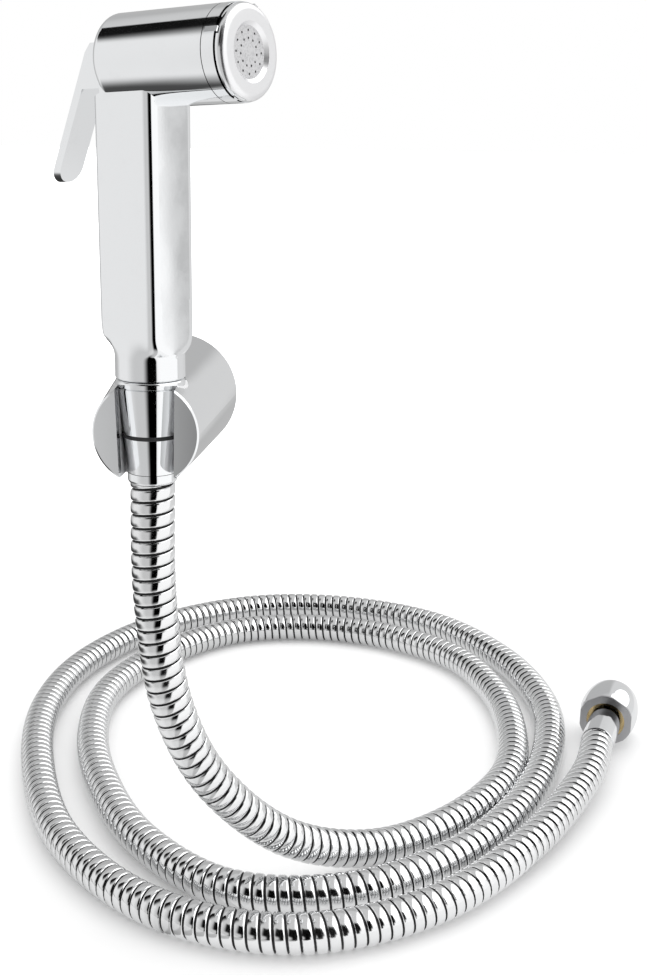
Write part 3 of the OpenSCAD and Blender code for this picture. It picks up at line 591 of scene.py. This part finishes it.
# %% Shoulder shape
NECK_R, NECK_LOW, NECK_BEVEL = 0.0123, 0.0176, 0.0005
PANEL_HALF, SIDE_FROM = math.radians(30), math.radians(66)
PANEL_TOP, PANEL_FOOT, PANEL_R, PANEL_BULGE = 0.0345, 0.0083, 0.01225, 0.0045
SIDE_LOW, SIDE_JOINED, SIDE_TOP, SIDE_BULGE = 0.0242, 0.0335, 0.0352, 0.0046
PANEL_LOW, PANEL_JOINED = 0.0246, 0.0268
OPENING = 1.5


def soft_step(value, low, high):
    """0 below low and 1 above high, with a soft rise between them."""
    t = np.clip((value - low) / (high - low), 0.0, 1.0)
    return t * t * (3 - 2 * t)


def lesser(a, b, soft=0.0005):
    """The lesser of two distances, with a soft edge where they meet."""
    low = np.minimum(a, b)
    return low - soft * np.log(np.exp((low - a) / soft) + np.exp((low - b) / soft))


def shoulder_distance(level, angle, grip):
    """How far the surface stands off the axis at one level, for all points round it."""
    front = 1 - soft_step(np.abs(angle), PANEL_HALF, SIDE_FROM)
    t = np.clip((PANEL_TOP - level) / PANEL_FOOT, 0.0, 1.0)
    front_cap = PANEL_R + PANEL_BULGE * (1 - t**1.7) + max(0.0, level - PANEL_TOP) * OPENING
    side_cap = (
        NECK_R + SIDE_BULGE * soft_step(level, SIDE_LOW, SIDE_TOP) + max(0.0, level - SIDE_TOP) * OPENING
    )
    cap = side_cap + (front_cap - side_cap) * front
    body = lesser(grip, cap)
    side_join = 1 - soft_step(level, SIDE_LOW, SIDE_JOINED)
    front_join = 1 - soft_step(level, PANEL_LOW, PANEL_JOINED)
    join = side_join + (front_join - side_join) * front
    return body + (NECK_R - body) * join


print("shoulder from level", SIDE_LOW, "to", SIDE_TOP, "m")

# %% [markdown]
# The solid is cut at the join, and what lies below it is dropped. The rings follow each other closely where
# the shoulder turns, and the last two make the small bevel at the foot of the neck.

# %% Handset mesh
JOIN = 0.045
SHOULDER_TOP, SHOULDER_FOOT, SHOULDER_RINGS = 0.0385, 0.0240, 59


def handset_mesh(name, solid):
    """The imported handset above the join, and the shoulder and neck as a skin below it."""
    shape = bmesh.new()
    shape.from_mesh(solid.data)
    bmesh.ops.bisect_plane(
        shape, geom=[*shape.verts, *shape.edges, *shape.faces], plane_co=(0, 0, JOIN),
        plane_no=(0, 0, 1), clear_inner=True,
    )
    angle, grip = grip_outline()
    shoulder = np.linspace(SHOULDER_TOP, SHOULDER_FOOT, SHOULDER_RINGS)
    levels = [JOIN, *shoulder, NECK_LOW + NECK_BEVEL, NECK_LOW]
    rings = []
    for level in levels:
        away = shoulder_distance(level, angle, grip) if level < JOIN else grip
        away = away - (NECK_BEVEL if level == NECK_LOW else 0.0)
        x, y = away * np.cos(angle), away * np.sin(angle)
        rings.append([
            shape.verts.new((px * math.cos(HEAD_TURN) - py * math.sin(HEAD_TURN),
                             px * math.sin(HEAD_TURN) + py * math.cos(HEAD_TURN) + AXIS_Y, level))
            for px, py in zip(x.tolist(), y.tolist())
        ])
    for upper, lower in zip(rings, rings[1:]):
        for k in range(len(upper)):
            shape.faces.new((upper[k - 1], lower[k - 1], lower[k], upper[k]))
    shape.faces.new(list(reversed(rings[-1])))
    mesh = bpy.data.meshes.new(name)
    shape.to_mesh(mesh)
    shape.free()
    mesh.polygons.foreach_set("use_smooth", [True] * len(mesh.polygons))
    mesh.set_sharp_from_angle(angle=math.radians(30))
    return mesh


handset = bpy.data.objects.new("handset", handset_mesh("handset", frame["nodes"]["handset_body"]))
handset.data.materials.clear()
handset.data.materials.append(chrome)
scene.collection.objects.link(handset)
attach(handset, "base")
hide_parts("handset_body")
print("handset faces:", len(handset.data.polygons))

# %% [markdown]
# ## Grip ring
# The rubber ring on the cone nut shows as a black band in the holder's slot. Its solid is a round ring
# that only just reaches the cone's surface, so a band with rounded rims, a little proud of the cone, is
# shown for it.

# %% Grip ring
BAND_LEVEL, BAND_HEIGHT, BAND_PROUD = -0.0027, 0.0017, 0.00035
CONE_LOW, CONE_LOW_R, CONE_TOP, CONE_TOP_R = -0.0162, 0.0087, 0.0144, 0.012
CONE_SLOPE = (CONE_TOP_R - CONE_LOW_R) / (CONE_TOP - CONE_LOW)


def band_mesh(name, steps=96):
    """A low band round the cone, with rounded rims."""
    profile = []
    for t in np.linspace(-1, 1, 11).tolist():
        level = BAND_LEVEL + t * BAND_HEIGHT / 2
        cone = CONE_LOW_R + CONE_SLOPE * (level - CONE_LOW)
        profile.append((cone + BAND_PROUD * (2 * math.sqrt(1 - abs(t) ** 4) - 1), level))
    points = [
        (r * math.cos(a), r * math.sin(a) + AXIS_Y, z)
        for a in np.linspace(0, 2 * math.pi, steps, endpoint=False).tolist() for r, z in profile
    ]
    count = len(profile)
    faces = []
    for i in range(steps):
        a, b = i * count, (i + 1) % steps * count
        for k in range(count):
            j = (k + 1) % count
            faces.append((a + k, b + k, b + j, a + j))
    mesh = bpy.data.meshes.new(name)
    mesh.from_pydata(points, [], faces)
    mesh.polygons.foreach_set("use_smooth", [True] * len(faces))
    return mesh


grip_band = bpy.data.objects.new("grip_band", band_mesh("grip_band"))
grip_band.data.materials.append(rubber)
scene.collection.objects.link(grip_band)
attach(grip_band, "base")
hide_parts("grip_ring")
print("band faces:", len(grip_band.data.polygons))

# %% [markdown]
# ## Thread inside the far nut
# The open end of the far nut shows a half inch pipe thread, 1.8 mm a turn. It is one ridge that winds
# along the bore, so a short list of turns with a three sided section makes it.

# %% Nut thread
THREAD_FROM, THREAD_TO = 0.0396, 0.0503
THREAD_PITCH, THREAD_WALL, THREAD_CREST = 0.00181, 0.01048, 0.00975


def ridge_mesh(name, start, end, pitch, wall, crest, steps=48):
    """A ridge with three corners, wound along X from one station to another."""
    count = int((end - start) / pitch * steps)
    points, faces = [], []
    for i in range(count + 1):
        x, angle = start + pitch * i / steps, 2 * math.pi * i / steps
        fade = min(1.0, i / (0.4 * steps), (count - i) / (0.4 * steps))
        for dx, r in ((-0.42 * pitch, wall), (0.0, wall - (wall - crest) * fade), (0.42 * pitch, wall)):
            points.append((x + dx, r * math.cos(angle), r * math.sin(angle)))
    for i in range(count):
        a = 3 * i
        for j, k in ((0, 1), (1, 2), (2, 0)):
            faces.append((a + j, a + k, a + 3 + k, a + 3 + j))
    mesh = bpy.data.meshes.new(name)
    mesh.from_pydata(points, [], faces)
    mesh.polygons.foreach_set("use_smooth", [True] * len(faces))
    mesh.set_sharp_from_angle(angle=math.radians(35))
    return mesh


nut_thread = bpy.data.objects.new(
    "nut_thread", ridge_mesh("nut_thread", THREAD_FROM, THREAD_TO, THREAD_PITCH, THREAD_WALL, THREAD_CREST)
)
nut_thread.data.transform(Matrix.Translation(FAR_START) @ Matrix.Rotation(FAR_TURN, 4, "Z"))
nut_thread.data.materials.append(chrome)
scene.collection.objects.link(nut_thread)
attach(nut_thread, "far_nut")
print("thread faces:", len(nut_thread.data.polygons))

# %% [markdown]
# ## What the chrome sees
# Chrome has no look of its own, it shows the studio. Seen from the part, the studio has a dark doorway
# where the camera stands, a white sheet to its right and a greyer wall to its left, and it is dim behind.
# These levels depend on the direction along the ground only, so one function serves both the world and
# the far table. It gives the walls and how far the doorway covers them, narrow low down and wide higher up.

# %% Studio walls
DOORWAY_X, DOORWAY_Y = 0.235, -0.972
LEFT_LEVEL, LEFT_FALL = 0.895, 0.26
RIGHT_LEVEL, RIGHT_FALL, SHEET_GLOW = 0.78, 0.23, 0.57
CORNER_FALL, RIGHT_CORNER = 0.38, 0.2
BEHIND_LEVEL = 0.5
NARROW_DOOR, WIDE_DOOR = (-0.5, 0.24), (-0.9, 0.42)


def studio_level(finish, x, y):
    """The brightness of the walls in a direction along the ground, and the cover of both doorways."""
    length = (x * x + y * y) ** 0.5
    towards = (x * DOORWAY_X + y * DOORWAY_Y) / length
    rightwards = (y * DOORWAY_X - x * DOORWAY_Y) / length
    corner = CORNER_FALL * (1 - finish.rise(towards, -0.85, -0.45))
    left_wall = LEFT_LEVEL - LEFT_FALL * finish.rise(towards, 0.0, 0.6) - corner
    right_wall = (
        RIGHT_LEVEL - RIGHT_FALL * finish.rise(towards, -0.12, -0.09)
        + SHEET_GLOW * finish.rise(towards, -0.088, -0.074) - RIGHT_CORNER * corner
    )
    walls = left_wall + (right_wall - left_wall) * finish.rise(rightwards, -0.1, 0.5)
    behind = 1 - finish.rise(towards, -0.91, -0.86)
    in_front = finish.rise(towards, 0.2, 0.45)
    doors = [
        in_front * finish.rise(rightwards, left, left + 0.3)
        * (1 - finish.rise(rightwards, right, right + 0.05))
        for left, right in (NARROW_DOOR, WIDE_DOOR)
    ]
    return walls + (BEHIND_LEVEL - walls) * behind, *doors


print("studio walls ready")

# %% [markdown]
# ## Floor
# The hose lies on a white table that runs out of the picture on every side. A small part of its light is
# its own, so it reads as white and still keeps the soft shadow. Reflections see more of the real table
# close to the hose, and further out they see the levels of the studio instead. They also see a dark strip
# on the left side of the table, which the camera doesn't see.

# %% Floor
FLOOR_HALF = 40.0
LOOPS_X, LOOPS_Y = 0.04, 0.12
LOOPS_END, STUDIO_FROM = 0.27, 0.42
SHADOW_END, WHITE_FROM = 0.3, 1.0
NEAR_SHARE, STRIP_DARK = 0.6, 0.92
NEAR_GLOW, FAR_GLOW = 0.16, 0.86


def floor_finish():
    material = bpy.data.materials.new("table")
    finish = Finish(material)
    x, y, _ = finish.axes(finish.node("TexCoord", output="Object"))
    from_loops = ((x - LOOPS_X) ** 2 + (y - LOOPS_Y) ** 2) ** 0.5
    far = finish.rise(from_loops, LOOPS_END, STUDIO_FROM)
    strip = (
        finish.rise(x, -0.60, -0.30) * (1 - finish.rise(x, -0.20, -0.12))
        * finish.rise(y, -0.20, -0.02)
    )
    walls, door, _ = studio_level(finish, x, y - AXIS_Y)
    level = walls * (1 - door) * (1 - STRIP_DARK * strip)
    camera_ray = finish.node("LightPath", output="Is Camera Ray")
    glossy = finish.node("LightPath", output="Is Glossy Ray")
    own_light = camera_ray * (NEAR_GLOW + FAR_GLOW * finish.rise(from_loops, SHADOW_END, WHITE_FROM))
    matt = finish.node("BsdfDiffuse", inputs={"Color": (0.82, 0.82, 0.82)})
    glow = finish.node("Emission", inputs={"Color": (1.0, 1.0, 1.0), "Strength": own_light})
    studio = finish.node("Emission", inputs={"Color": (1.0, 1.0, 1.0), "Strength": level})
    real = finish.node("AddShader", inputs={0: matt, 1: glow})
    reflected = glossy * (1 - NEAR_SHARE * (1 - far) * (1 - strip))
    finish.node("OutputMaterial", inputs={
        "Surface": finish.node("MixShader", inputs={0: reflected, 1: real, 2: studio}),
    })
    return material


floor_mesh = bpy.data.meshes.new("table")
floor_mesh.from_pydata(
    [(a * FLOOR_HALF, b * FLOOR_HALF, TABLE) for a, b in ((-1, -1), (1, -1), (1, 1), (-1, 1))],
    [], [(0, 1, 2, 3)],
)
floor_mesh.materials.append(floor_finish())
floor = bpy.data.objects.new("table", floor_mesh)
scene.collection.objects.link(floor)
print("table at", TABLE, "m")

# %% [markdown]
# ## World
# The world draws the studio for reflections only. The camera and matt surfaces see it as plain white. High
# on the left, the dark gap between the back sheet and the ceiling gives the head its black band. A softbox
# on the right gives the far nut and the loops their white patches.

# %% World
CEILING_LEVEL, SOFTBOX_LEVEL, GAP_DARK = 0.66, 2.0, 0.99


def studio_world():
    world = bpy.data.worlds.new("studio")
    finish = Finish(world)
    x, y, z = finish.axes(finish.node("TexCoord", output="Generated"))
    walls, door, wide_door = studio_level(finish, x, y)
    door = 1 - (1 - door) * (1 - wide_door * finish.rise(z, 0.12, 0.3))
    open_door = door * (1 - finish.rise(z, 0.78, 0.86))
    left = (1 - finish.rise(x, -0.35, -0.2)) * finish.rise(z, 0.45, 0.6)
    gap = finish.rise(y, -0.26, 0.09) * (1 - finish.rise(y, 0.30, 0.34)) * left
    softbox = (
        finish.rise(x, 0.25, 0.30) * (1 - finish.rise(x, 0.85, 0.90)) * finish.rise(z, 0.28, 0.34)
        * finish.rise(y, -0.60, -0.55) * (1 - finish.rise(y, 0.66, 0.72))
    )
    shade = walls + (CEILING_LEVEL - walls) * finish.rise(z, 0.6, 0.75)
    shade = shade + (SOFTBOX_LEVEL - shade) * softbox
    shade = shade * (1 - open_door) * (1 - GAP_DARK * gap)
    strength = 1 + finish.node("LightPath", output="Is Glossy Ray") * (shade - 1)
    finish.node("OutputWorld", inputs={
        "Surface": finish.node("Background", inputs={"Color": (1.0, 1.0, 1.0), "Strength": strength}),
    })
    return world


scene.world = studio_world()
scene.view_settings.view_transform = "Standard"
print("world ready")

# %% [markdown]
# ## Lamp
# One large lamp above adds the soft shadow under the hose. It is kept out of the reflections, because the
# world already draws what the chrome sees.

# %% Lamp


def square_lamp(name, at, towards, size, power):
    """A square lamp that lights matt surfaces and stays out of the reflections."""
    data = bpy.data.lights.new(name, "AREA")
    data.shape, data.size, data.energy = "SQUARE", size, power
    lamp = bpy.data.objects.new(name, data)
    lamp.matrix_world = Matrix.Translation(at) @ (
        (Vector(towards) - Vector(at)).to_track_quat("-Z", "Y").to_matrix().to_4x4()
    )
    lamp.visible_glossy = False
    scene.collection.objects.link(lamp)
    return lamp


top_light = square_lamp("top_light", (0.25, 0.3, 1.3), (0.03, 0.08, -0.15), 1.2, 6.0)
print("lamp at", [round(c, 2) for c in top_light.matrix_world.translation])
